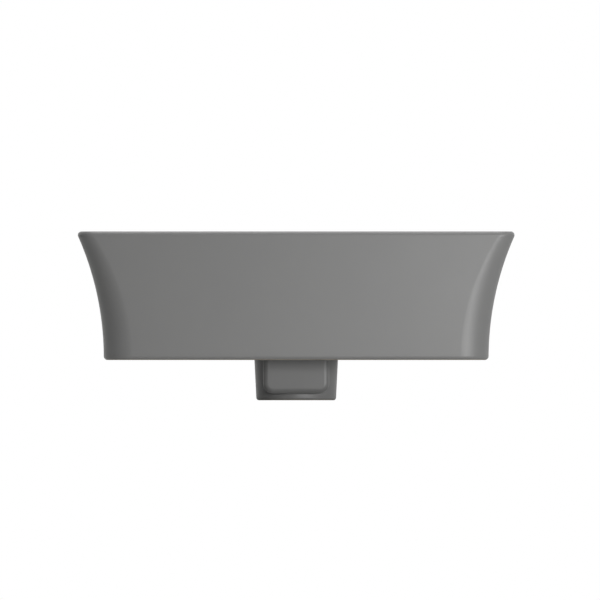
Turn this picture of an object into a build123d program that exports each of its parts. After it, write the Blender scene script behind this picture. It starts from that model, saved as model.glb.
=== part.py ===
from build123d import *
import os
from math import hypot, sqrt

# Countertop basin in millimetres. The origin is on the drain axis, in the plane of the foot ring
# that rests on the counter. +Z is up, +X is to the right and the front of the basin faces -Y.
os.makedirs("parts", exist_ok=True)

# Basin, outside
base_width = 440.0
side_flare = 30.0
basin_depth = 380.0
basin_height = 147.0
flare_start = 2.5
base_corner_radius = 33.0
rim_corner_radius = 19.0
rim_edge_radius = 4.2
foot_edge_radius = 4.5

# Bowl, inside
rim_thickness = 12.0
floor_height = 32.0
side_wall_at_floor = 40.0
front_wall_at_floor = 50.0
bowl_floor_corner_radius = 60.0
bowl_rim_corner_radius = 12.0
floor_round_radius = 35.0
drain_fall = 4.0
dish_margin = 5.0
dish_crown = 0.7

# Walls around the hollow underside
skirt_thickness = 12.0
shell_thickness = 10.0
floor_thickness = 13.0
hollow_height = 62.0

# Outlet boss and the overflow block in front of it
boss_drop = 46.0
boss_wall = 9.5
boss_taper = 2.25
boss_foot_round = 3.0
block_half_width = 37.75
block_drop = 38.3
block_step = 14.5
block_lower_radius = 11.4
block_face_round = 6.0
block_wall = 9.0
block_blend = 2.5
web_top_drop = 14.0
web_thickness = 10.0
spanner_room = 10.0
waste_hole_gap = 2.045

# Overflow channel in the front wall and under the floor
channel_half_width = 26.0
channel_side_wall = 8.0
channel_skin = 9.0
channel_floor = 9.5
channel_underside = 1.5
channel_above_overflow = 14.0
overflow_below_rim = 49.0
overflow_hole_radius = 12.0

# Overflow ring and its rubber sleeve
ring_flange_radius = 15.5
ring_flange_thickness = 1.8
ring_bore_radius = 8.8
ring_wall = 1.6
ring_sleeve_length = 11.0
grip_length = 7.0

# Waste body: a flanged tube with the G 1 1/4 pipe thread drawn as a plain cylinder
thread_radius = 20.955
waste_bore_radius = 18.0
flange_radius = 31.5
flange_thickness = 2.6
flange_seal_thickness = 1.5
seat_gap = 1.5
seat_depth = 3.5
funnel_top_radius = 22.0
funnel_depth = 5.5
slot_height = 18.0
slot_width = 11.0
slot_count = 4
spider_height = 6.0
spider_arm_width = 4.0
spider_hub_radius = 8.0
tail_inset = 2.0
groove_depth = 0.7
groove_width = 0.8
tail_thread_length = 7.0

# Nut and washers under the outlet web
lower_seal_thickness = 3.0
lower_seal_radius = 32.0
slip_washer_thickness = 1.0
slip_washer_radius = 30.5
nut_height = 8.0
nut_across_flats = 52.0
nut_chamfer = 2.0

# Press-open cartridge
press_travel = 8.0
housing_radius = 10.0
housing_bore_radius = 8.0
housing_floor = 4.0
housing_length = 32.0
stud_length = 9.0
collar_cap_height = 3.0
collar_cap_spigot = 3.0
cap_to_nut_gap = 2.25
stem_radius = 4.0
stem_collar_height = 4.0
stem_foot_gap = 0.9
cam_height = 5.0
cam_lug_count = 4
cam_lug_width = 3.0
cam_lug_height = 1.0
spring_wire = 1.0
spring_turns = 5.0
spring_mean_radius = 5.9
stem_ring_section = 1.4
stem_ring_cover = 0.9

# Plug that covers the outlet
plug_radius = 30.0
plug_edge_height = 2.2
plug_edge_round = 0.8
plug_crown = 2.0
plug_closed_gap = 2.0
plug_hub_radius = 8.0
plug_hub_height = 5.5
stem_end_cover = 1.0
carrier_radius = 20.0
carrier_height = 2.4
carrier_lip = 1.0
carrier_lip_height = 0.7
plug_seal_radius = 27.0
plug_seal_bevel = 0.4
lock_nut_height = 3.8
lock_nut_across_flats = 13.0

# Clearances
running_gap = 0.08
assembly_gap = 0.05
sliding_gap = 0.3

# Small bevel on turned edges, and how far a cut runs past a face
small_bevel = 0.5
cut_over = 2.0

# Levels and widths that follow from the sizes above
widest_height = basin_height - rim_edge_radius
flare_radius = ((widest_height - flare_start) ** 2 + side_flare**2) / (2 * side_flare)
wall_rise = basin_height - floor_height
floor_half_width = base_width / 2 - side_wall_at_floor
floor_half_depth = basin_depth / 2 - front_wall_at_floor
mouth_half_width = base_width / 2 + side_flare - rim_thickness
mouth_half_depth = basin_depth / 2 - rim_thickness
front_lean = (mouth_half_depth - floor_half_depth) / wall_rise
overflow_level = basin_height - overflow_below_rim
dish_radius = floor_half_depth - floor_round_radius - dish_margin
cavity_radius = nut_across_flats / 2 + spanner_room
boss_foot_radius = cavity_radius + boss_wall
boss_root_radius = boss_foot_radius + boss_taper
block_reach = boss_foot_radius + block_step
waste_hole_radius = thread_radius + waste_hole_gap
drain_level = floor_height - drain_fall
seat_level = drain_level - seat_depth
seat_radius = flange_radius + seat_gap
cavity_top = seat_level - shell_thickness
web_top = -web_top_drop
web_underside = web_top - web_thickness
boss_root_level = cavity_top + shell_thickness / 2
flange_underside = seat_level + flange_seal_thickness
flange_top = flange_underside + flange_thickness
tail_end = -boss_drop + tail_inset
barrel_gap_radius = thread_radius + sliding_gap
seal_underside = web_underside - lower_seal_thickness
nut_top = seal_underside - slip_washer_thickness
nut_underside = nut_top - nut_height
plug_underside = flange_top + plug_closed_gap + press_travel
carrier_foot = plug_underside - carrier_height
hub_foot = plug_underside - plug_hub_height
lock_nut_top = hub_foot - assembly_gap
lock_nut_foot = lock_nut_top - lock_nut_height
cap_top = lock_nut_foot - press_travel - cap_to_nut_gap
housing_top = cap_top - collar_cap_height
spider_top = housing_top - housing_length
housing_floor_level = spider_top + housing_floor
stem_foot = housing_floor_level + press_travel + stem_foot_gap
guide_radius = stem_radius + running_gap
screwed_radius = stem_radius + assembly_gap
collar_stop = housing_top - collar_cap_spigot
collar_radius = housing_bore_radius - sliding_gap
collar_top = collar_stop - assembly_gap
collar_foot = collar_top - stem_collar_height
cam_top = collar_foot - assembly_gap
cam_foot = cam_top - cam_height
stem_ring_foot = cap_top - stem_ring_cover - stem_ring_section


def outer_section(z, inset):
    """Plan outline of the basin at a height: the sides flare on an arc, front and back are upright."""
    rise = max(z - flare_start, 0.0)
    shift = flare_radius - sqrt(flare_radius**2 - rise**2)
    corner_loss = (base_corner_radius - rim_corner_radius) * shift / side_flare
    width = base_width + 2 * shift - 2 * inset
    corner = base_corner_radius - corner_loss - inset
    return Pos(0, 0, z) * RectangleRounded(width, basin_depth - 2 * inset, corner)


def outer_form(low, high, steps, inset=0.0):
    """Flared outside of the basin between two heights, drawn in by the inset."""
    heights = [low + (high - low) * i / steps for i in range(steps + 1)]
    return loft([outer_section(z, inset) for z in heights])


def bowl_section(z, grow):
    """Plan outline of the bowl at a height. Its walls lean in towards the floor."""
    up = (z - floor_height) / wall_rise
    half_width = floor_half_width + (mouth_half_width - floor_half_width) * up + grow
    half_depth = floor_half_depth + (mouth_half_depth - floor_half_depth) * up + grow
    corner = bowl_floor_corner_radius + (bowl_rim_corner_radius - bowl_floor_corner_radius) * up
    return Pos(0, 0, z) * RectangleRounded(2 * half_width, 2 * half_depth, corner + grow)


def bowl_form(grow=0.0, drop=0.0):
    """Space of the bowl, grown outwards and dropped below the floor by a wall's thickness."""
    low = floor_height - drop
    high = basin_height + cut_over
    form = loft([bowl_section(z, grow) for z in (low, (low + high) / 2, high)])
    return fillet(form.edges().group_by(Axis.Z)[0], floor_round_radius + grow)


def turned(points):
    """Body of revolution about the drain axis from an outline of radius and height pairs."""
    outline = Polyline([(radius, 0, z) for radius, z in points], close=True)
    return revolve(make_face(outline), Axis.Z)


def disc(radius, low, high):
    """Plain cylinder about the drain axis between two heights."""
    return Pos(0, 0, low) * extrude(Circle(radius), high - low)


def tube(outer_radius, inner_radius, low, high):
    """Plain ring about the drain axis between two heights."""
    return disc(outer_radius, low, high) - disc(inner_radius, low - cut_over, high + cut_over)


def block(half_width, front, back, low, high):
    """Straight block, centred in X, between two depths and two heights."""
    middle = Pos(0, (front + back) / 2, (low + high) / 2)
    return middle * Box(2 * half_width, back - front, high - low)


def borders_mouth(edge):
    """True for an edge of the rim's top face that borders the bowl."""
    box = edge.bounding_box()
    level = abs(box.min.Z - basin_height) < 0.01 and abs(box.max.Z - basin_height) < 0.01
    centre = edge.center()
    inside_x = abs(centre.X) < mouth_half_width + rim_thickness / 4
    inside_y = abs(centre.Y) < mouth_half_depth + rim_thickness / 4
    return level and inside_x and inside_y


def boss_form():
    """Tapered outlet boss from its foot up into the floor."""
    taper = (boss_root_radius - boss_foot_radius) / boss_drop
    top_radius = boss_root_radius + taper * boss_root_level
    cone = turned(
        [
            (0, -boss_drop),
            (boss_foot_radius, -boss_drop),
            (top_radius, boss_root_level),
            (0, boss_root_level),
        ]
    )
    return fillet(cone.edges().group_by(Axis.Z)[0], boss_foot_round)


def overflow_block_form():
    """Rounded block in front of the boss that holds the overflow chamber."""
    form = block(block_half_width, -block_reach, 0, -block_drop, boss_root_level)
    form = fillet(form.edges().filter_by(Axis.Y).group_by(Axis.Z)[0], block_lower_radius)
    face_edges = form.edges().group_by(Axis.Y)[0]
    return fillet(face_edges.sort_by(Axis.Z)[:-1], block_face_round)


def meets_boss(edge):
    """True for an edge that lies on the boss's side where the block runs into it."""
    middle = edge @ 0.5
    taper = (boss_root_radius - boss_foot_radius) / boss_drop
    side_radius = boss_root_radius + taper * middle.Z
    on_side = abs(hypot(middle.X, middle.Y) - side_radius) < assembly_gap
    between = boss_foot_round - boss_drop < middle.Z < boss_root_level - cut_over
    return on_side and between and middle.Y < -boss_foot_radius / 2


def outlet_form():
    """Boss and overflow block in one, with a small hollow blend where they meet."""
    outlet = boss_form() + overflow_block_form()
    return fillet([e for e in outlet.edges() if meets_boss(e)], block_blend)


def bowl_dish():
    """Shallow fall of the floor to the drain, with the round seat for the waste flange."""
    over = floor_height + cut_over
    inner = (seat_radius, 0, drain_level)
    outer = (dish_radius, 0, floor_height)
    crown_level = (drain_level + floor_height) / 2 + dish_crown
    fall = ThreePointArc(inner, ((seat_radius + dish_radius) / 2, 0, crown_level), outer)
    rest = Polyline(outer, (dish_radius, 0, over), (0, 0, over), (0, 0, drain_level), inner)
    return revolve(make_face(fall + rest), Axis.Z) + disc(seat_radius, seat_level, over)


def hollow_underside():
    """Space between the skirt and the bowl's shell, open below, around the overflow channel."""
    space = outer_form(-cut_over, hollow_height, 3, skirt_thickness)
    casing_half_width = channel_half_width + channel_side_wall
    casing_top = hollow_height + cut_over
    casing = block(casing_half_width, -basin_depth / 2, 0, channel_underside, casing_top)
    return space - bowl_form(shell_thickness, floor_thickness) - casing


def overflow_way():
    """Water way from the overflow hole down the front wall and under the floor to the boss."""
    front = -basin_depth / 2 + skirt_thickness
    back = -cavity_radius - block_wall / 2
    top = overflow_level + channel_above_overflow
    channel = block(channel_half_width, front, back, channel_floor, top)
    channel = channel - bowl_form(channel_skin, floor_thickness + 1)
    chamber_front = -block_reach + block_wall
    chamber = block(block_half_width - block_wall, chamber_front, 0, web_top, cavity_top)
    return channel + chamber + disc(cavity_radius, web_top, cavity_top)


def overflow_place():
    """Plane on the bowl's front wall at the overflow hole. Its normal points into the bowl."""
    wall_y = -(floor_half_depth + front_lean * (overflow_level - floor_height))
    return Plane(origin=(0, wall_y, overflow_level), x_dir=(1, 0, 0), z_dir=(0, 1, front_lean))


def make_basin_body():
    """Glazed ceramic basin, cast in one with its outlet boss and overflow channel."""
    body = outer_form(0, basin_height, 6)
    body = fillet(body.edges().group_by(Axis.Z)[-1], rim_edge_radius)
    body = fillet(body.edges().group_by(Axis.Z)[0], foot_edge_radius)
    body = body - bowl_form()
    body = fillet([e for e in body.edges() if borders_mouth(e)], rim_edge_radius)
    body = body - hollow_underside() + outlet_form()
    body = body - bowl_dish() - disc(waste_hole_radius, -boss_drop, drain_level)
    body = body - overflow_way() - disc(cavity_radius, -boss_drop - cut_over, web_underside)
    hole = disc(overflow_hole_radius, -channel_skin - cut_over, front_wall_at_floor)
    return body - overflow_place() * hole


def make_overflow_ring():
    """Chromed ring that trims the overflow hole, with its sleeve inside the wall."""
    sleeve_radius = ring_bore_radius + ring_wall
    outline = [
        (ring_bore_radius, -ring_sleeve_length),
        (sleeve_radius, -ring_sleeve_length),
        (sleeve_radius, assembly_gap),
        (ring_flange_radius, assembly_gap),
        (ring_flange_radius, ring_flange_thickness / 2),
        (ring_flange_radius - ring_flange_thickness, ring_flange_thickness),
        (sleeve_radius, ring_flange_thickness),
        (ring_bore_radius, ring_flange_thickness / 4),
    ]
    return overflow_place() * turned(outline)


def make_overflow_grip():
    """Rubber sleeve that holds the overflow ring in its hole."""
    inner = ring_bore_radius + ring_wall + assembly_gap
    outer = overflow_hole_radius - assembly_gap
    return overflow_place() * tube(outer, inner, -grip_length, 0)


def make_waste_body():
    """Chromed brass waste: flange, funnel, slotted barrel, spider and threaded tail."""
    groove_low = tail_end + tail_thread_length
    groove_high = groove_low + groove_width
    edge = flange_thickness / 3
    outline = [
        (waste_bore_radius, tail_end),
        (thread_radius - groove_depth, tail_end),
        (thread_radius, tail_end + groove_depth),
        (thread_radius, groove_low),
        (thread_radius - groove_depth, groove_low),
        (thread_radius - groove_depth, groove_high),
        (thread_radius, groove_high),
        (thread_radius, flange_underside),
        (flange_radius, flange_underside),
        (flange_radius, flange_top - edge),
        (flange_radius - edge, flange_top),
        (funnel_top_radius, flange_top),
        (waste_bore_radius, flange_top - funnel_depth),
    ]
    body = turned(outline)
    slot_face = Plane.YZ * Rot(0, 0, 90) * SlotOverall(slot_height, slot_width)
    slot = Pos(0, 0, (cavity_top + web_top) / 2) * extrude(slot_face, flange_radius)
    for i in range(slot_count):
        body = body - Rot(0, 0, 360 * (i + 0.5) / slot_count) * slot
    spider = disc(spider_hub_radius, spider_top - spider_height, spider_top)
    arm_reach = (waste_bore_radius + thread_radius) / 2
    arm = Box(2 * arm_reach, spider_arm_width, spider_height)
    arm = Pos(0, 0, spider_top - spider_height / 2) * arm
    spider = spider + arm + Rot(0, 0, 90) * arm
    return body + spider - disc(screwed_radius, spider_top - 2 * spider_height, spider_top)


def make_flange_seal():
    """Rubber ring between the waste flange and its seat in the bowl floor."""
    return tube(flange_radius - 1, barrel_gap_radius, seat_level, flange_underside)


def make_lower_seal():
    """Rubber washer under the outlet web, with a cone that centres it in the hole."""
    outline = [
        (barrel_gap_radius, seal_underside),
        (lower_seal_radius, seal_underside),
        (lower_seal_radius, web_underside),
        (waste_hole_radius - assembly_gap, web_underside),
        (barrel_gap_radius, web_underside + lower_seal_thickness / 2),
    ]
    return turned(outline)


def make_slip_washer():
    """Thin plastic washer that lets the nut turn without dragging the rubber."""
    return tube(slip_washer_radius, barrel_gap_radius, nut_top, seal_underside)


def make_back_nut():
    """Hexagonal brass nut that clamps the waste to the outlet web."""
    hexagon = RegularPolygon(nut_across_flats / 2, 6, major_radius=False)
    nut = Pos(0, 0, nut_underside) * extrude(hexagon, nut_height)
    corner = nut_across_flats / sqrt(3)
    cone = turned(
        [
            (0, nut_underside),
            (corner - nut_chamfer, nut_underside),
            (corner, nut_underside + nut_chamfer / 2),
            (corner, nut_top),
            (0, nut_top),
        ]
    )
    return (nut & cone) - disc(thread_radius + assembly_gap, nut_underside, nut_top)


def make_cartridge_housing():
    """Brass housing of the press-open cartridge, screwed to the spider by its stud."""
    stud_foot = spider_top - stud_length
    outline = [
        (0, stud_foot),
        (stem_radius - small_bevel, stud_foot),
        (stem_radius, stud_foot + small_bevel),
        (stem_radius, spider_top),
        (housing_radius, spider_top),
        (housing_radius, housing_top),
        (housing_bore_radius, housing_top),
        (housing_bore_radius, housing_floor_level),
        (0, housing_floor_level),
    ]
    return turned(outline)


def make_collar_cap():
    """Brass cap that closes the housing, guides the stem and stops its collar."""
    groove_radius = guide_radius + stem_ring_section + assembly_gap
    groove_top = stem_ring_foot + stem_ring_section + assembly_gap
    outline = [
        (guide_radius, collar_stop),
        (housing_bore_radius - assembly_gap, collar_stop),
        (housing_bore_radius - assembly_gap, housing_top),
        (housing_radius, housing_top),
        (housing_radius, cap_top - small_bevel),
        (housing_radius - small_bevel, cap_top),
        (guide_radius, cap_top),
        (guide_radius, groove_top),
        (groove_radius, groove_top),
        (groove_radius, stem_ring_foot - assembly_gap),
        (guide_radius, stem_ring_foot - assembly_gap),
    ]
    return turned(outline)


def make_stem_ring():
    """Rubber ring in the cap's groove that keeps grit out of the cartridge."""
    outer = guide_radius + stem_ring_section
    return tube(outer, guide_radius, stem_ring_foot, stem_ring_foot + stem_ring_section)


def make_plug_stem():
    """Sliding brass stem with its collar. The plug screws on its upper end."""
    top = plug_underside - stem_end_cover
    outline = [
        (0, stem_foot),
        (stem_radius - small_bevel, stem_foot),
        (stem_radius, stem_foot + small_bevel),
        (stem_radius, collar_foot),
        (collar_radius, collar_foot),
        (collar_radius, collar_top),
        (stem_radius, collar_top),
        (stem_radius, top - small_bevel),
        (stem_radius - small_bevel, top),
        (0, top),
    ]
    return turned(outline)


def make_latch_cam():
    """Plastic ring under the stem's collar that turns at each press and so latches the stem."""
    body_radius = collar_radius - cam_lug_height
    ring = tube(body_radius, guide_radius, cam_foot, cam_top)
    lug = Box(2 * cam_lug_height, cam_lug_width, cam_height)
    lug_x = body_radius - small_bevel / 2
    lug = Pos(lug_x, 0, (cam_foot + cam_top) / 2) * lug
    for i in range(cam_lug_count):
        ring = ring + Rot(0, 0, 360 * i / cam_lug_count) * lug
    return ring


def make_cartridge_spring():
    """Steel compression spring that lifts the stem, drawn as one unbroken wire."""
    low = housing_floor_level + spring_wire / 2 + assembly_gap
    length = cam_foot - spring_wire / 2 - assembly_gap - low
    coil = Pos(0, 0, low) * Helix(length / spring_turns, length, spring_mean_radius)
    section = Plane(origin=coil @ 0, z_dir=coil % 0) * Circle(spring_wire / 2)
    return sweep(section, coil, is_frenet=True)


def make_plug_cap():
    """Chromed mushroom plug with its hub and the carrier for its seal."""
    top = plug_underside + plug_edge_height
    shoulder = plug_radius - plug_edge_round
    bore_top = plug_underside - stem_end_cover / 2
    lip_radius = carrier_radius + carrier_lip
    lip_top = carrier_foot + carrier_lip_height
    outline = Polyline(
        (0, 0, top + plug_crown),
        (0, 0, bore_top),
        (screwed_radius, 0, bore_top),
        (screwed_radius, 0, hub_foot),
        (plug_hub_radius, 0, hub_foot),
        (plug_hub_radius, 0, carrier_foot),
        (lip_radius, 0, carrier_foot),
        (lip_radius, 0, lip_top),
        (carrier_radius, 0, lip_top),
        (carrier_radius, 0, plug_underside),
        (shoulder, 0, plug_underside),
        (plug_radius, 0, plug_underside + plug_edge_round),
        (plug_radius, 0, top - plug_edge_round),
        (shoulder, 0, top),
    )
    dome_radius = (shoulder**2 + plug_crown**2) / (2 * plug_crown)
    dome_centre = top + plug_crown - dome_radius
    dome_middle = dome_centre + sqrt(dome_radius**2 - shoulder**2 / 4)
    dome = ThreePointArc(
        (shoulder, 0, top), (shoulder / 2, 0, dome_middle), (0, 0, top + plug_crown)
    )
    return revolve(make_face(outline + dome), Axis.Z)


def make_plug_seal():
    """Flat rubber ring round the plug's carrier that closes on the waste flange."""
    low = carrier_foot + carrier_lip_height + assembly_gap
    high = plug_underside - assembly_gap
    inner = carrier_radius + assembly_gap
    outline = [
        (inner, low),
        (plug_seal_radius - plug_seal_bevel, low),
        (plug_seal_radius, low + plug_seal_bevel),
        (plug_seal_radius, high),
        (inner, high),
    ]
    return turned(outline)


def make_lock_nut():
    """Small brass nut that locks the plug at its height on the stem."""
    hexagon = RegularPolygon(lock_nut_across_flats / 2, 6, major_radius=False)
    nut = Pos(0, 0, lock_nut_foot) * extrude(hexagon, lock_nut_height)
    return nut - disc(screwed_radius, lock_nut_foot, lock_nut_top)


pieces = {
    "basin_body": make_basin_body(),
    "overflow_ring": make_overflow_ring(),
    "overflow_grip": make_overflow_grip(),
    "waste_body": make_waste_body(),
    "flange_seal": make_flange_seal(),
    "lower_seal": make_lower_seal(),
    "slip_washer": make_slip_washer(),
    "back_nut": make_back_nut(),
    "cartridge_housing": make_cartridge_housing(),
    "collar_cap": make_collar_cap(),
    "stem_ring": make_stem_ring(),
    "plug_stem": make_plug_stem(),
    "latch_cam": make_latch_cam(),
    "cartridge_spring": make_cartridge_spring(),
    "plug_cap": make_plug_cap(),
    "plug_seal": make_plug_seal(),
    "lock_nut": make_lock_nut(),
}
for name, piece in pieces.items():
    export_step(piece, f"parts/{name}.step")
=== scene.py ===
from math import asin, atan, cos, pi, radians, sin, sqrt

import bmesh
import bpy
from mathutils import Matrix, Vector


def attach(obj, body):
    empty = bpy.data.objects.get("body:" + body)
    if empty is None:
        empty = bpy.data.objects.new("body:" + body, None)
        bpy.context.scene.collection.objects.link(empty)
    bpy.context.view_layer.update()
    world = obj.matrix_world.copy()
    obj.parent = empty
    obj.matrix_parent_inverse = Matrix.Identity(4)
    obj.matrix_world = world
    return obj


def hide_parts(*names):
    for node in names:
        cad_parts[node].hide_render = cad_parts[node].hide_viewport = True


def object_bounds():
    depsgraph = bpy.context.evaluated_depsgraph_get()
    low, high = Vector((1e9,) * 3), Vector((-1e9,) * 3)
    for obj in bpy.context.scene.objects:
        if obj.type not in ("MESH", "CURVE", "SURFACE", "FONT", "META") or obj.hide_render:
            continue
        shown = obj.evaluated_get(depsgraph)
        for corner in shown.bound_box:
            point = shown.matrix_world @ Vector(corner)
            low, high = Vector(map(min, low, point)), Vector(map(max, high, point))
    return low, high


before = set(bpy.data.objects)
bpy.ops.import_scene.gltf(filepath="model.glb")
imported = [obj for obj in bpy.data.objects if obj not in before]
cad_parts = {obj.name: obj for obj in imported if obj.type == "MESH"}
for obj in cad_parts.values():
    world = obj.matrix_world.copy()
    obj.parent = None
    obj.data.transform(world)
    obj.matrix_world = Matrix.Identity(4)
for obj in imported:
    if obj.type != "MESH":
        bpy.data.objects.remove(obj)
cad_low, cad_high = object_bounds()

# Basin body. One piece of fine fireclay, slip-cast in a plaster mould with its bowl, hollow underside,
# outlet boss and overflow channel, and fired once under a sprayed matt grey glaze that softens every
# edge. The foot ring and the boss's foot are wiped clean of glaze, so that they don't stick in the kiln.
mm = 0.001
base_half_width = 220 * mm
side_flare = 30 * mm
half_depth = 190 * mm
basin_height = 147 * mm
flare_start = 2.5 * mm
base_corner = 33 * mm
rim_corner = 19 * mm
rim_round = 4.2 * mm
foot_round = 4.5 * mm
rim_thickness = 12 * mm
bowl_floor = 32 * mm
bowl_floor_half_width = 180 * mm
bowl_floor_half_depth = 140 * mm
bowl_floor_corner = 60 * mm
bowl_rim_corner = 12 * mm
bowl_floor_round = 35 * mm
corner_steps = 12
straight_cuts = 11
around = 4 * (corner_steps + 1 + straight_cuts)

flare_height = basin_height - rim_round - flare_start
flare_radius = (flare_height**2 + side_flare**2) / (2 * side_flare)
wall_rise = basin_height - bowl_floor
side_lean = (base_half_width + side_flare - rim_thickness - bowl_floor_half_width) / wall_rise
front_lean = (half_depth - rim_thickness - bowl_floor_half_depth) / wall_rise


def deselect():
    """Leaves no object selected, so that an operator acts only on what is added next."""
    if bpy.context.object and bpy.context.object.mode == "EDIT":
        bpy.ops.object.mode_set(mode="OBJECT")
    bpy.ops.object.select_all(action="DESELECT")


def pick(test, kind="verts"):
    """Selects in edit mode just the vertices, edges or faces for which the test is true."""
    mesh = bmesh.from_edit_mesh(bpy.context.object.data)
    for group in (mesh.faces, mesh.edges, mesh.verts):
        for element in group:
            element.select = False
    for element in getattr(mesh, kind):
        if test(element):
            element.select_set(True)
    if kind == "verts":
        mesh.select_flush(True)
    bmesh.update_edit_mesh(bpy.context.object.data)


def ring(half_width, half_depth_here, corner, level):
    """One rounded outline in a level plane, as a loop of edges in an object of its own."""
    deselect()
    bpy.ops.mesh.primitive_plane_add(size=2, location=(0, 0, level))
    bpy.ops.object.mode_set(mode="EDIT")
    middle = (0, 0, level)
    bpy.ops.transform.resize(value=(half_width, half_depth_here, 1), center_override=middle)
    bpy.ops.mesh.bevel(offset=corner, segments=corner_steps, affect="VERTICES")
    bpy.ops.mesh.select_all(action="SELECT")
    bpy.ops.mesh.delete(type="ONLY_FACE")
    pick(lambda edge: edge.calc_length() > corner / 2, "edges")
    bpy.ops.mesh.subdivide(number_cuts=straight_cuts)
    bpy.ops.object.mode_set(mode="OBJECT")
    bpy.ops.object.transform_apply()
    return bpy.context.object


def round_ring(radius, level):
    """One circle about the drain axis, as a loop of edges in an object of its own."""
    deselect()
    bpy.ops.mesh.primitive_circle_add(vertices=around, radius=radius, location=(0, 0, level))
    bpy.ops.object.transform_apply()
    return bpy.context.object


def joined(first, *others):
    """The first object with the others' meshes added to it, in their order."""
    for other in others:
        deselect()
        other.select_set(True)
        first.select_set(True)
        bpy.context.view_layer.objects.active = first
        bpy.ops.object.join()
    return first


def bridged(rings, closed):
    """A skin over a row of loops that have as many points each. A closed row meets its own start."""
    skin = joined(*rings)
    bpy.ops.object.mode_set(mode="EDIT")
    count = len(rings)
    pairs = [(i, i + 1) for i in range(count - 1)] + ([(count - 1, 0)] if closed else [])
    for low, high in pairs:
        pick(lambda vertex: vertex.index // around in (low, high))
        bpy.ops.mesh.bridge_edge_loops()
    bpy.ops.mesh.select_all(action="SELECT")
    bpy.ops.mesh.normals_make_consistent(inside=False)
    bpy.ops.object.mode_set(mode="OBJECT")
    return skin


def outside(level, inset=0.0):
    """Half width, half depth and corner of the flared outside at a level, drawn in by the inset."""
    rise = max(level - flare_start, 0.0)
    shift = flare_radius - sqrt(flare_radius**2 - rise**2)
    corner = base_corner - (base_corner - rim_corner) * shift / side_flare
    return base_half_width + shift - inset, half_depth - inset, corner - inset


def outer_rim(turn):
    """Ring of the rim's outer rounding, at an angle above the horizon."""
    centre = basin_height - rim_round
    tangent = asin((centre - flare_start) / (flare_radius + rim_round))
    wide, _, corner = outside(centre - rim_round * sin(tangent))
    turned_in = rim_round * (1 - cos(max(turn, 0.0)))
    half_width = wide - rim_round * cos(tangent) + rim_round * cos(turn)
    level = centre + rim_round * sin(turn)
    return ring(half_width, half_depth - turned_in, corner - turned_in, level)


def leaning(level, at_floor, lean, floor, rounding):
    """Half size of a leaning wall at a level, with the rounding of the given radius at its floor."""
    slant = sqrt(1 + lean**2)
    if level >= floor + rounding * (1 - lean / slant):
        return at_floor + lean * (level - floor)
    centre = at_floor + rounding * (lean - slant)
    return centre + sqrt(max(rounding**2 - (floor + rounding - level) ** 2, 0.0))


def bowl(level, grow=0.0, drop=0.0):
    """Half width, half depth and corner of the bowl at a level, or of its shell's outside."""
    floor = bowl_floor - drop
    rounding = bowl_floor_round + grow
    up = (level - bowl_floor) / wall_rise
    wide = bowl_floor_half_width - side_lean * drop + grow
    deep = bowl_floor_half_depth - front_lean * drop + grow
    half_width = leaning(level, wide, side_lean, floor, rounding)
    deep_here = leaning(level, deep, front_lean, floor, rounding)
    drawn_in = wide + side_lean * (level - floor) - half_width
    corner = bowl_floor_corner + (bowl_rim_corner - bowl_floor_corner) * up + grow
    return half_width, deep_here, corner - drawn_in


def inner_rim(turn):
    """Ring of the rim's inner rounding, at an angle above the horizon."""
    level = basin_height - rim_round + rim_round * sin(turn)
    sizes = []
    for at_mouth, lean in ((base_half_width + side_flare, side_lean), (half_depth, front_lean)):
        mouth = at_mouth - rim_thickness
        slant = sqrt(1 + lean**2)
        wall = mouth + lean * (level - basin_height)
        rounded = mouth - lean * rim_round + rim_round * slant - rim_round * cos(turn)
        sizes.append(rounded if sin(turn) > lean / slant else wall)
    wall_at = base_half_width + side_flare - rim_thickness + side_lean * (level - basin_height)
    return ring(sizes[0], sizes[1], bowl(level)[2] + sizes[0] - wall_at, level)


seat_radius = 33 * mm
seat_level = 24.5 * mm
drain_level = 28 * mm
dish_radius = 100 * mm
dish_crown = 0.7 * mm
seat_edge_round = 1.2 * mm
hole_radius = 23 * mm
cavity_radius = 36 * mm
cavity_top = 14.5 * mm
web_top = -14 * mm
web_underside = -24 * mm
boss_drop = 46 * mm
boss_root_radius = 47.75 * mm
boss_foot_radius = 45.5 * mm
boss_foot_round = 3 * mm
boss_foot_inner_round = 1.5 * mm
boss_blend = 4 * mm
shell = 10 * mm
floor_wall = 13 * mm
skirt = 12 * mm
hollow_top = 62 * mm
cast_round = 3 * mm
foot_inner_round = 1.5 * mm
fall = 0.02 * mm
floor_underside = bowl_floor - floor_wall


def dish(radius):
    """Level of the bowl's floor at a distance from the drain axis, where it falls to the drain."""
    share = (radius - seat_radius) / (dish_radius - seat_radius)
    depth = bowl_floor - drain_level
    return drain_level + depth * share + 4 * dish_crown * share * (1 - share)


def boss(level):
    """Radius of the tapered boss at a level."""
    return boss_root_radius + (boss_root_radius - boss_foot_radius) * level / boss_drop


rings = []
for turn in range(0, 90, 15):
    up = foot_round * (1 - cos(radians(turn)))
    rings.append(ring(*outside(up, foot_round * (1 - sin(radians(turn)))), up))
flare_steps = 18
flare_top = basin_height - 1.5 * rim_round
for i in range(flare_steps + 1):
    level = foot_round + (flare_top - foot_round) * i / flare_steps
    rings.append(ring(*outside(level), level))
for turn in (-23, -10, 5, 20, 35, 50, 65, 78, 90):
    rings.append(outer_rim(radians(turn)))
for turn in (85, 75, 65, 54, 42, 32, 24, 16, 8):
    rings.append(inner_rim(radians(turn)))
for level in (138, 130, 122, 114, 106, 98, 90, 82, 74, 66, 60):
    rings.append(ring(*bowl(level * mm), level * mm))
for turn in range(72, -1, -8):
    level = bowl_floor + bowl_floor_round * (1 - cos(radians(turn)))
    rings.append(ring(*bowl(level), level))
for radius in (98, 91, 84, 76, 68, 60, 52, 44, 38):
    rings.append(round_ring(radius * mm, dish(radius * mm)))
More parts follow.
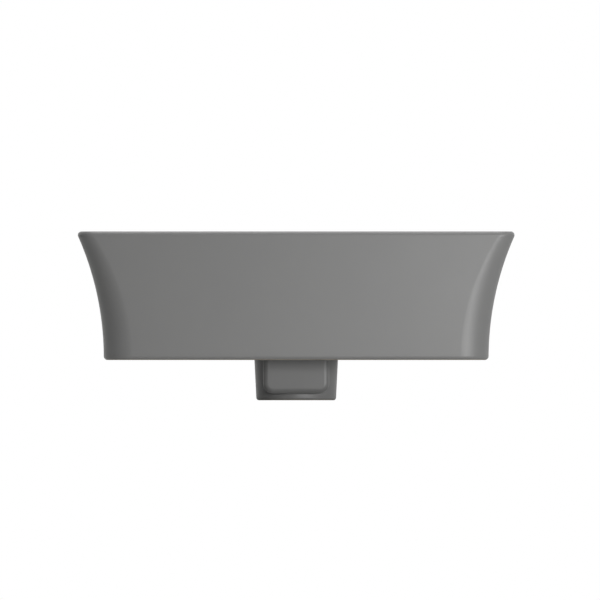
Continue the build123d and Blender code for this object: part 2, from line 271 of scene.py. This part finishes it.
for turn in (90, 60, 30, 0):
    radius = seat_radius + seat_edge_round * (1 - cos(radians(turn)))
    drop = seat_edge_round * (1 - sin(radians(turn)))
    rings.append(round_ring(radius, drain_level - drop))
for radius, level in (
    (seat_radius, seat_level),
    (hole_radius, seat_level - fall),
    (hole_radius, cavity_top),
    (cavity_radius, cavity_top - fall),
    (cavity_radius, web_top),
    (hole_radius, web_top - fall),
    (hole_radius, web_underside + fall),
    (cavity_radius, web_underside),
    (cavity_radius, boss_foot_inner_round - boss_drop),
):
    rings.append(round_ring(radius, level))
for turn in (30, 60, 90):
    radius = cavity_radius + boss_foot_inner_round * (1 - cos(radians(turn)))
    drop = boss_drop - boss_foot_inner_round * (1 - sin(radians(turn)))
    rings.append(round_ring(radius, fall - drop))
for turn in range(90, -1, -15):
    level = boss_foot_round * (1 - sin(radians(turn))) - boss_drop
    rings.append(round_ring(boss(level) - boss_foot_round * (1 - cos(radians(turn))), level))
for level in (-32, -20, -8, 4):
    rings.append(round_ring(boss(level * mm), level * mm))
for turn in range(0, 91, 15):
    level = floor_underside - boss_blend * (1 - sin(radians(turn)))
    rings.append(round_ring(boss(level) + boss_blend * (1 - cos(radians(turn))), level - fall))
shell_round = bowl_floor_round + shell
for turn in range(0, 73, 9):
    level = floor_underside + shell_round * (1 - cos(radians(turn)))
    rings.append(ring(*bowl(level, shell, floor_wall), level))
for turn in (0, 45, 90):
    level = hollow_top - cast_round * (1 - sin(radians(turn)))
    wide, deep, corner = bowl(level, shell, floor_wall)
    out = cast_round * (1 - cos(radians(turn)))
    rings.append(ring(wide + out, deep + out, corner + out, level))
for turn in (90, 45, 0):
    level = hollow_top - cast_round * (1 - sin(radians(turn)))
    inset = skirt + cast_round * (1 - cos(radians(turn)))
    rings.append(ring(*outside(level, inset), level - fall))
for level in (46, 34, 22, 10, 3):
    rings.append(ring(*outside(level * mm, skirt), level * mm))
for turn in (0, 45, 90):
    level = foot_inner_round * (1 - sin(radians(turn)))
    inset = skirt - foot_inner_round * (1 - cos(radians(turn)))
    rings.append(ring(*outside(level, inset), level + fall))
basin = bridged(rings, closed=True)
basin.name = "glazed_basin"


def brick(half_width, front, back, low, high):
    """Straight block between two depths and two heights, selected and active."""
    deselect()
    middle = (0, (front + back) / 2, (low + high) / 2)
    bpy.ops.mesh.primitive_cube_add(size=1, location=middle)
    bpy.context.object.scale = (2 * half_width, back - front, high - low)
    bpy.ops.object.transform_apply()
    return bpy.context.object


def drum(radius, low, high):
    """Upright cylinder about the drain axis, selected and active."""
    deselect()
    bpy.ops.mesh.primitive_cylinder_add(
        vertices=around, radius=radius, depth=high - low, location=(0, 0, (low + high) / 2)
    )
    bpy.ops.object.transform_apply()
    return bpy.context.object


def combine(target, tool, operation):
    """Adds the tool's solid to the target's, or takes it away, and removes the tool."""
    deselect()
    target.select_set(True)
    bpy.context.view_layer.objects.active = target
    change = target.modifiers.new("combine", "BOOLEAN")
    change.object = tool
    change.operation = operation
    change.solver = "EXACT"
    bpy.ops.object.modifier_apply(modifier=change.name)
    bpy.data.objects.remove(tool)
    return target


def soften(test, width, steps):
    """Rounds the chosen edges of the active object."""
    bpy.ops.object.mode_set(mode="EDIT")
    pick(test, "edges")
    bpy.ops.mesh.bevel(offset=width, segments=steps, affect="EDGES")
    bpy.ops.object.mode_set(mode="OBJECT")


# Overflow block. Part of the same casting: a rounded box in front of the boss that holds the chamber
# where the overflow channel meets the waste. Its sides run into the boss.
block_half_width = 37.75 * mm
block_reach = 60 * mm
block_drop = 38.3 * mm
block_lower_round = 11.4 * mm
block_face_round = 6 * mm
block_hidden_back = 20 * mm
wall_middle_radius = 41 * mm

block = brick(block_half_width, -block_reach, -block_hidden_back, -block_drop, floor_underside)


def lower_side_edge(edge):
    """True for the two lower edges that run from front to back."""
    a, b = (v.co for v in edge.verts)
    return max(a.z, b.z) < -block_drop / 2 and abs(a.x - b.x) < mm and abs(a.z - b.z) < mm


def front_edge(edge):
    """True for the edges of the block's front face, but not for its upper one."""
    a, b = (v.co for v in edge.verts)
    in_front = max(a.y, b.y) < -block_reach + mm
    return in_front and min(a.z, b.z) < floor_underside - mm


soften(lower_side_edge, block_lower_round, 10)
soften(front_edge, block_face_round, 8)
block = combine(block, drum(wall_middle_radius, -boss_drop - mm, floor_underside + mm), "DIFFERENCE")
basin = combine(basin, block, "UNION")

# Overflow channel. The casting's hollow front passage from the overflow hole down the front wall and
# under the floor to the boss, with its casing on the underside.
casing_half_width = 34 * mm
casing_underside = 1.5 * mm
casing_round = 5 * mm
channel_half_width = 26 * mm
channel_floor = 9.5 * mm
channel_ceiling = 18 * mm
channel_top = 112 * mm
channel_skin = 9 * mm
chamber_half_width = 28.75 * mm
chamber_front = 51 * mm
overflow_level = 98 * mm
overflow_radius = 12 * mm
overflow_sides = 64
wall_angle = atan(front_lean)

into_wall = half_depth - skirt / 2
casing_top = bowl_floor - floor_wall / 2
casing = brick(casing_half_width, -into_wall, -block_hidden_back, casing_underside, casing_top)


def casing_lower_edge(edge):
    """True for the casing's two long lower edges."""
    a, b = (v.co for v in edge.verts)
    return max(a.z, b.z) < casing_underside + mm and abs(a.x - b.x) < mm


soften(casing_lower_edge, casing_round, 5)
casing = combine(casing, drum(wall_middle_radius, -mm, bowl_floor), "DIFFERENCE")
basin = combine(basin, casing, "UNION")

# The casing's upright part fills the gap between the skirt and the bowl's front wall. It is stepped,
# because that wall leans in towards the floor.
upright_steps = ((153 * mm, hollow_top + cast_round), (143.5 * mm, 44 * mm), (135 * mm, 36 * mm))
for behind, top in upright_steps:
    upright = brick(casing_half_width, -into_wall, -behind, casing_round, top)
    basin = combine(basin, upright, "UNION")
channel_front = half_depth - skirt
wedge_back = bowl_floor_half_depth / 2
wedge = brick(channel_half_width, -channel_front, -wedge_back, channel_floor, channel_top)
into_bowl = Vector((0, cos(wall_angle), sin(wall_angle)))
on_wall = Vector((0, -bowl_floor_half_depth, bowl_floor))
bpy.ops.object.mode_set(mode="EDIT")
bpy.ops.mesh.select_all(action="SELECT")
bpy.ops.mesh.bisect(
    plane_co=on_wall - channel_skin * into_bowl, plane_no=into_bowl, use_fill=True, clear_outer=True
)
bpy.ops.object.mode_set(mode="OBJECT")
basin = combine(basin, wedge, "DIFFERENCE")
passage = brick(
    channel_half_width - mm, -channel_front + mm, -chamber_front + mm, channel_floor + mm, channel_ceiling
)
basin = combine(basin, passage, "DIFFERENCE")
chamber_back = block_hidden_back - 4 * mm
chamber = brick(
    chamber_half_width, -chamber_front, -chamber_back, web_top + mm / 2, cavity_top - mm / 2
)
basin = combine(basin, chamber, "DIFFERENCE")

overflow_y = -(bowl_floor_half_depth + front_lean * (overflow_level - bowl_floor))
overflow_place = Vector((0, overflow_y, overflow_level))
hole_depth = 2 * (channel_skin + 4 * mm)
deselect()
bpy.ops.mesh.primitive_cylinder_add(
    vertices=overflow_sides,
    radius=overflow_radius,
    depth=hole_depth,
    location=overflow_place,
    rotation=(wall_angle - pi / 2, 0, 0),
)
bpy.ops.object.transform_apply()
basin = combine(basin, bpy.context.object, "DIFFERENCE")


smooth_below = radians(35)


def finished(piece, name, body, replaced):
    """Smooths a modelled piece, names it, gives it its body and hides the nodes that it stands for."""
    deselect()
    piece.select_set(True)
    bpy.context.view_layer.objects.active = piece
    bpy.ops.object.shade_smooth_by_angle(angle=smooth_below)
    even = piece.modifiers.new("even normals", "WEIGHTED_NORMAL")
    even.keep_sharp = True
    bpy.ops.object.modifier_apply(modifier=even.name)
    piece.name = name
    piece.data.name = name
    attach(piece, body)
    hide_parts(*replaced)
    return piece


def linear(colour):
    """An sRGB hex colour as linear red, green, blue and alpha."""
    parts = [int(colour[i : i + 2], 16) / 255 for i in (1, 3, 5)]
    return [c / 12.92 if c <= 0.04045 else ((c + 0.055) / 1.055) ** 2.4 for c in parts] + [1]


def add(tree, kind, inputs, **settings):
    """Adds a shader node. Each input is given by its name or number, as a value or as a node's output."""
    made = tree.nodes.new("ShaderNode" + kind)
    for name, value in settings.items():
        setattr(made, name, value)
    for name, value in inputs.items():
        if isinstance(value, bpy.types.Node):
            value = value.outputs[0]
        if isinstance(value, bpy.types.NodeSocket):
            tree.links.new(value, made.inputs[name])
        else:
            made.inputs[name].default_value = value
    return made


def finish_of(name, metallic, roughness, ior):
    """A new material with its tree, its shader and the object's own coordinates."""
    made = bpy.data.materials.new(name)
    made.use_nodes = True
    tree = made.node_tree
    shader = tree.nodes["Principled BSDF"]
    shader.inputs["Metallic"].default_value = metallic
    shader.inputs["Roughness"].default_value = roughness
    shader.inputs["IOR"].default_value = ior
    place = tree.nodes.new("ShaderNodeTexCoord").outputs["Object"]
    return made, tree, shader, place


def painted(piece, *finishes):
    """Gives a piece its finishes in place of the ones that it came with."""
    piece.data.materials.clear()
    for finish in finishes:
        piece.data.materials.append(finish)


# Matt grey glaze, sprayed on fine fireclay and fired. It gives a soft sheen without a sharp image, a
# faint orange-peel skin and a slight clouding of the grey. Where it was wiped off the two feet, the
# bare clay is paler, warmer, dull and gritty.
glaze_grey = "#848484"
glaze_light = "#878786"
bisque_pale = "#b9b1a5"
bisque_dark = "#9c9488"
cloud_size = 60 * mm
peel_size = 1.2 * mm
peel_height = 0.003 * mm
sag_size = 50 * mm
sag_height = 0.1 * mm
grit_size = 0.6 * mm
grit_height = 0.06 * mm
wiped_height = 0.9 * mm
smear_size = 80 * mm
sheen_change = 0.03
wander_size = 12 * mm
wander_height = 0.35 * mm
ring_from_axis = 150 * mm
glaze_roughness = 0.38
bisque_roughness = 0.85

glaze, tree, shader, place = finish_of("matt_grey_glaze", 0.0, glaze_roughness, 1.5)
clouds = add(tree, "TexNoise", {"Vector": place, "Scale": 1 / cloud_size, "Detail": 4.0, "Roughness": 0.6})
tint = add(
    tree, "Mix", {"Factor": clouds, 6: linear(glaze_grey), 7: linear(glaze_light)}, data_type="RGBA"
)
grit = add(tree, "TexNoise", {"Vector": place, "Scale": 1 / grit_size, "Detail": 6.0, "Roughness": 0.7})
clay = add(
    tree, "Mix", {"Factor": grit, 6: linear(bisque_dark), 7: linear(bisque_pale)}, data_type="RGBA"
)
split = add(tree, "SeparateXYZ", {"Vector": place})
wander = add(tree, "TexNoise", {"Vector": place, "Scale": 1 / wander_size, "Detail": 2.0})
line = add(tree, "MapRange", {"Value": wander, "To Min": -wander_height, "To Max": wander_height})
level_here = add(tree, "Math", {0: split.outputs["Z"], 1: line}, operation="ADD")
from_axis = add(tree, "VectorMath", {0: place, 1: (1, 1, 0)}, operation="MULTIPLY")
distance = add(tree, "VectorMath", {0: from_axis}, operation="LENGTH")
outer_part = add(tree, "Math", {0: distance.outputs["Value"], 1: ring_from_axis}, operation="GREATER_THAN")
low_foot = add(tree, "Math", {0: level_here, 1: wiped_height}, operation="LESS_THAN")
ring_bare = add(tree, "Math", {0: outer_part, 1: low_foot}, operation="MULTIPLY")
boss_bare = add(tree, "Math", {0: level_here, 1: wiped_height - boss_drop}, operation="LESS_THAN")
bare = add(tree, "Math", {0: ring_bare, 1: boss_bare}, operation="MAXIMUM")
colour = add(tree, "Mix", {"Factor": bare, 6: tint.outputs[2], 7: clay.outputs[2]}, data_type="RGBA")
tree.links.new(colour.outputs[2], shader.inputs["Base Color"])
smear = add(tree, "TexNoise", {"Vector": place, "Scale": 1 / smear_size, "Detail": 1.0})
sheen = add(
    tree,
    "MapRange",
    {"Value": smear, "To Min": glaze_roughness - sheen_change, "To Max": glaze_roughness + sheen_change},
)
gloss = add(tree, "Mix", {"Factor": bare, 2: sheen, 3: bisque_roughness})
tree.links.new(gloss.outputs[0], shader.inputs["Roughness"])
peel = add(tree, "TexNoise", {"Vector": place, "Scale": 1 / peel_size, "Detail": 2.0, "Roughness": 0.5})
sag = add(tree, "TexNoise", {"Vector": place, "Scale": 1 / sag_size, "Detail": 1.0})
low_wave = add(tree, "Bump", {"Height": sag, "Distance": sag_height, "Strength": 1.0})
fine_skin = add(
    tree, "Bump", {"Height": peel, "Distance": peel_height, "Strength": 1.0, "Normal": low_wave}
)
rough_clay = add(
    tree, "Bump", {"Height": grit, "Distance": grit_height, "Strength": bare, "Normal": fine_skin}
)
tree.links.new(rough_clay.outputs["Normal"], shader.inputs["Normal"])

painted(basin, glaze)
finished(basin, "glazed_basin", "basin", ["basin_body"])

# Overflow ring. A turned brass ring with a short sleeve, pushed into the overflow hole from the bowl.
# Its nickel-chrome plate gives sharp, slightly cool reflections, with hair-fine polishing lines and
# patches of dried water film that dull it a little.
chrome_face = "#c6c8ca"
chrome_film = "#b4b6b7"
chrome_roughness = 0.07
film_roughness = 0.16
film_size = 14 * mm
hair_size = 0.35 * mm
hair_height = 0.0008 * mm


def speckle(tree, place, size, detail, roughness=0.5):
    """Noise whose spots are about as wide as the given size."""
    values = {"Vector": place, "Scale": 1 / size, "Detail": detail, "Roughness": roughness}
    return add(tree, "TexNoise", values)


def coloured(tree, shader, factor, first, second):
    """Gives a finish two sRGB colours, mixed by the factor."""
    mixed = add(
        tree, "Mix", {"Factor": factor, 6: linear(first), 7: linear(second)}, data_type="RGBA"
    )
    tree.links.new(mixed.outputs[2], shader.inputs["Base Color"])


def dulled(tree, shader, factor, clean, dull):
    """Lets a finish's roughness rise with the factor, from clean to dull."""
    rising = add(tree, "MapRange", {"Value": factor, "To Min": clean, "To Max": dull})
    tree.links.new(rising.outputs[0], shader.inputs["Roughness"])


def grained(tree, shader, height, distance):
    """Gives a finish a relief as high as the distance."""
    relief = add(tree, "Bump", {"Height": height, "Distance": distance, "Strength": 1.0})
    tree.links.new(relief.outputs["Normal"], shader.inputs["Normal"])


chrome, tree, shader, place = finish_of("bright_chrome_plate", 1.0, chrome_roughness, 1.5)
film = speckle(tree, place, film_size, 5.0, 0.65)
patch = add(tree, "MapRange", {"Value": film, "From Min": 0.5, "From Max": 0.75})
coloured(tree, shader, patch, chrome_face, chrome_film)
dulled(tree, shader, patch, chrome_roughness, film_roughness)
grained(tree, shader, speckle(tree, place, hair_size, 3.0), hair_height)
painted(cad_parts["overflow_ring"], chrome)

# Overflow grip. A sleeve round the ring that holds it tight in its hole. The moulded nitrile rubber is
# near black and dull, with a faint grey bloom and a fine moulded grain.
rubber_black = "#202021"
rubber_bloom = "#343435"
rubber_roughness = 0.6
bloom_size = 6 * mm
rubber_grain_size = 0.5 * mm
rubber_grain_height = 0.02 * mm

rubber, tree, shader, place = finish_of("moulded_black_rubber", 0.0, rubber_roughness, 1.52)
coloured(tree, shader, speckle(tree, place, bloom_size, 5.0, 0.7), rubber_black, rubber_bloom)
grained(tree, shader, speckle(tree, place, rubber_grain_size, 4.0), rubber_grain_height)
painted(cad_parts["overflow_grip"], rubber)

# Waste body. A brass casting with its flange, overflow slots, spider and threaded tail turned and cut,
# passed down through the hole in the bowl's floor. It is chrome-plated all over.
painted(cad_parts["waste_body"], chrome)

# Flange seal. A flat ring of moulded rubber that lies between the waste's flange and the bowl's floor
# and is pressed flat when the nut is tightened.
painted(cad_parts["flange_seal"], rubber)

# Lower seal. A coned washer of moulded rubber on the waste's tail. The nut presses it up against the
# web inside the boss.
painted(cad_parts["lower_seal"], rubber)

# Slip washer. A thin ring under the seal, so that the turning nut doesn't drag it. The injection-moulded
# nylon is natural white, slightly yellow and waxy, with a soft satin shine.
nylon_white = "#e4dfd2"
nylon_shade = "#d6d0c0"
nylon_roughness = 0.42
flow_size = 9 * mm
nylon_grain_size = 0.8 * mm
nylon_grain_height = 0.01 * mm

nylon, tree, shader, place = finish_of("moulded_nylon", 0.0, nylon_roughness, 1.53)
coloured(tree, shader, speckle(tree, place, flow_size, 4.0), nylon_white, nylon_shade)
grained(tree, shader, speckle(tree, place, nylon_grain_size, 3.0), nylon_grain_height)
painted(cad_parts["slip_washer"], nylon)

# Back nut. A hexagonal nut on the tail that clamps the waste to the basin. The brass is turned and left
# unplated, so it gives a warm yellow shine broken by fine rings from the tool, and browner patches
# where it has tarnished.
brass_fresh = "#dcbf7c"
brass_tarnished = "#b08d50"
brass_roughness = 0.24
tarnish_roughness = 0.42
tarnish_size = 7 * mm
tool_mark = 0.4 * mm
tool_mark_height = 0.004 * mm
band_spacing = 0.314  # of a wave texture whose scale is 1

brass, tree, shader, place = finish_of("machined_brass", 1.0, brass_roughness, 1.5)
age = speckle(tree, place, tarnish_size, 5.0, 0.65)
worn = add(tree, "MapRange", {"Value": age, "From Min": 0.4, "From Max": 0.7})
coloured(tree, shader, worn, brass_fresh, brass_tarnished)
dulled(tree, shader, worn, brass_roughness, tarnish_roughness)
turned = add(
    tree,
    "TexWave",
    {"Vector": place, "Scale": band_spacing / tool_mark, "Distortion": 0.6, "Detail": 2.0},
    wave_type="BANDS",
    bands_direction="Z",
)
grained(tree, shader, turned.outputs["Fac"], tool_mark_height)
painted(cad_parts["back_nut"], brass)

# Cartridge housing. The turned brass barrel of the press-open mechanism, screwed into the waste's spider.
# The latch cam and the spring work inside it.
painted(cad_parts["cartridge_housing"], brass)

# Stem ring. A small ring of moulded rubber in a groove of the cap, which keeps water off the mechanism
# and slows the stem.
painted(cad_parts["stem_ring"], rubber)

# Collar cap. The turned brass cap that closes the housing. Its bore guides the stem, and its underside
# stops the stem's collar when the plug is up.
painted(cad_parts["collar_cap"], brass)

# Plug stem. A turned brass rod with a collar. It carries the plug on its upper end and slides down
# through the cap when the plug is pressed.
painted(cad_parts["plug_stem"], brass)

# Latch cam. A ring of moulded nylon in the housing that turns at each press and so holds the plug down
# or lets it up.
painted(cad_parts["latch_cam"], nylon)

# Cartridge spring. A coil in the bottom of the housing that pushes the cam, the stem and the plug up.
# The drawn steel wire is oiled, so it is grey and satin, with fine draw lines.
steel_grey = "#a3a4a6"
steel_dark = "#7f8082"
steel_roughness = 0.3
scale_size = 2 * mm
draw_line_size = 0.15 * mm
draw_line_height = 0.003 * mm

steel, tree, shader, place = finish_of("drawn_spring_steel", 1.0, steel_roughness, 1.5)
coloured(tree, shader, speckle(tree, place, scale_size, 5.0), steel_grey, steel_dark)
grained(tree, shader, speckle(tree, place, draw_line_size, 2.0), draw_line_height)
painted(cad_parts["cartridge_spring"], steel)

# Plug cap. The mushroom plug that is pressed by hand, a brass pressing with the same bright chrome
# plate as the waste, screwed on the stem.
painted(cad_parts["plug_cap"], chrome)

# Plug seal. A ring of moulded rubber in a groove under the plug, which closes on the waste's funnel
# when the plug is down.
painted(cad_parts["plug_seal"], rubber)

# Lock nut. A small turned brass nut on the stem, tightened against the plug's underside so that it
# doesn't unscrew.
painted(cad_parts["lock_nut"], brass)

# Stage. A pale paper floor just under the boss, a white surround that only the camera and reflections
# see, and three soft lamps: two level with the basin in front on the right, and one overhead.
floor_white = "#f4f4f3"
floor_fibre = "#f0f0ef"
floor_bounce = "#bcbcbb"
floor_glow = 0.42
ambient = 0.06
floor_drop = 0.05 * mm
floor_width = 12
fibre_size = 3 * mm
paper_roughness = 0.9
lamp_distance = 1.7
lamp_aim = 60 * mm


def looks(tree):
    """One for the rays that look at a thing straight or in a mirror, nothing for those that light it."""
    rays = tree.nodes.new("ShaderNodeLightPath")
    mirrored = add(
        tree,
        "Math",
        {0: rays.outputs["Is Glossy Ray"], 1: rays.outputs["Is Transmission Ray"]},
        operation="MAXIMUM",
    )
    return add(tree, "Math", {0: rays.outputs["Is Camera Ray"], 1: mirrored}, operation="MAXIMUM")


deselect()
bpy.ops.mesh.primitive_plane_add(size=floor_width, location=(0, 0, cad_low.z - floor_drop))
floor = bpy.context.object
floor.name = "studio_floor"
floor_paint, tree, shader, place = finish_of("floor_paper", 0.0, paper_roughness, 1.4)
fibres = speckle(tree, place, fibre_size, 4.0)
shade = add(
    tree, "Mix", {"Factor": fibres, 6: linear(floor_fibre), 7: linear(floor_white)}, data_type="RGBA"
)
paper = add(
    tree, "Mix", {"Factor": looks(tree), 6: linear(floor_bounce), 7: shade.outputs[2]}, data_type="RGBA"
)
tree.links.new(paper.outputs[2], shader.inputs["Base Color"])
glow = add(tree, "Math", {0: looks(tree), 1: floor_glow}, operation="MULTIPLY")
tree.links.new(glow.outputs[0], shader.inputs["Emission Strength"])
shader.inputs["Emission Color"].default_value = linear(floor_white)
side = tree.nodes.new("ShaderNodeNewGeometry")
clear = tree.nodes.new("ShaderNodeBsdfTransparent")
seen = add(tree, "MixShader", {0: side.outputs["Backfacing"], 1: shader.outputs[0], 2: clear.outputs[0]})
tree.links.new(seen.outputs[0], tree.nodes["Material Output"].inputs["Surface"])
painted(floor, floor_paint)

world = bpy.data.worlds.new("white_studio")
world.use_nodes = True
bpy.context.scene.world = world
tree = world.node_tree
strength = add(tree, "MapRange", {"Value": looks(tree), "To Min": ambient, "To Max": 1.0})
sky = tree.nodes["Background"]
sky.inputs["Color"].default_value = (1, 1, 1, 1)
tree.links.new(strength.outputs[0], sky.inputs["Strength"])


def lamp(name, azimuth, elevation, width, height, watts):
    """A soft lamp aimed at the basin, placed by its direction from it."""
    a, e = radians(azimuth), radians(elevation)
    away = Vector((sin(a) * cos(e), -cos(a) * cos(e), sin(e)))
    light = bpy.data.lights.new(name, "AREA")
    light.shape = "RECTANGLE"
    light.size = width
    light.size_y = height
    light.energy = watts
    made = bpy.data.objects.new(name, light)
    bpy.context.scene.collection.objects.link(made)
    made.location = Vector((0, 0, lamp_aim)) + away * lamp_distance
    made.rotation_euler = (-away).to_track_quat("-Z", "Y").to_euler()


lamp("front_lamp", 20, -1, 0.9, 0.26, 9.19)
lamp("front_right_lamp", 40, -1, 0.9, 0.26, 6.04)
lamp("overhead_lamp", 0, 85, 1.2, 1.2, 16)

# The camera looks straight along +Y without perspective, as the photo does.
photo_pixels = 600
pixel = 1.143 * mm
axis_column = 296.2
base_row = 360
camera_distance = 2

camera_data = bpy.data.cameras.new("front_camera")
camera_data.type = "ORTHO"
camera_data.ortho_scale = photo_pixels * pixel
camera = bpy.data.objects.new("front_camera", camera_data)
bpy.context.scene.collection.objects.link(camera)
camera.location = (
    (photo_pixels / 2 - axis_column) * pixel,
    -camera_distance,
    (base_row - photo_pixels / 2) * pixel,
)
camera.rotation_euler = (pi / 2, 0, 0)
bpy.context.scene.camera = camera
bpy.context.scene.view_settings.view_transform = "Standard"
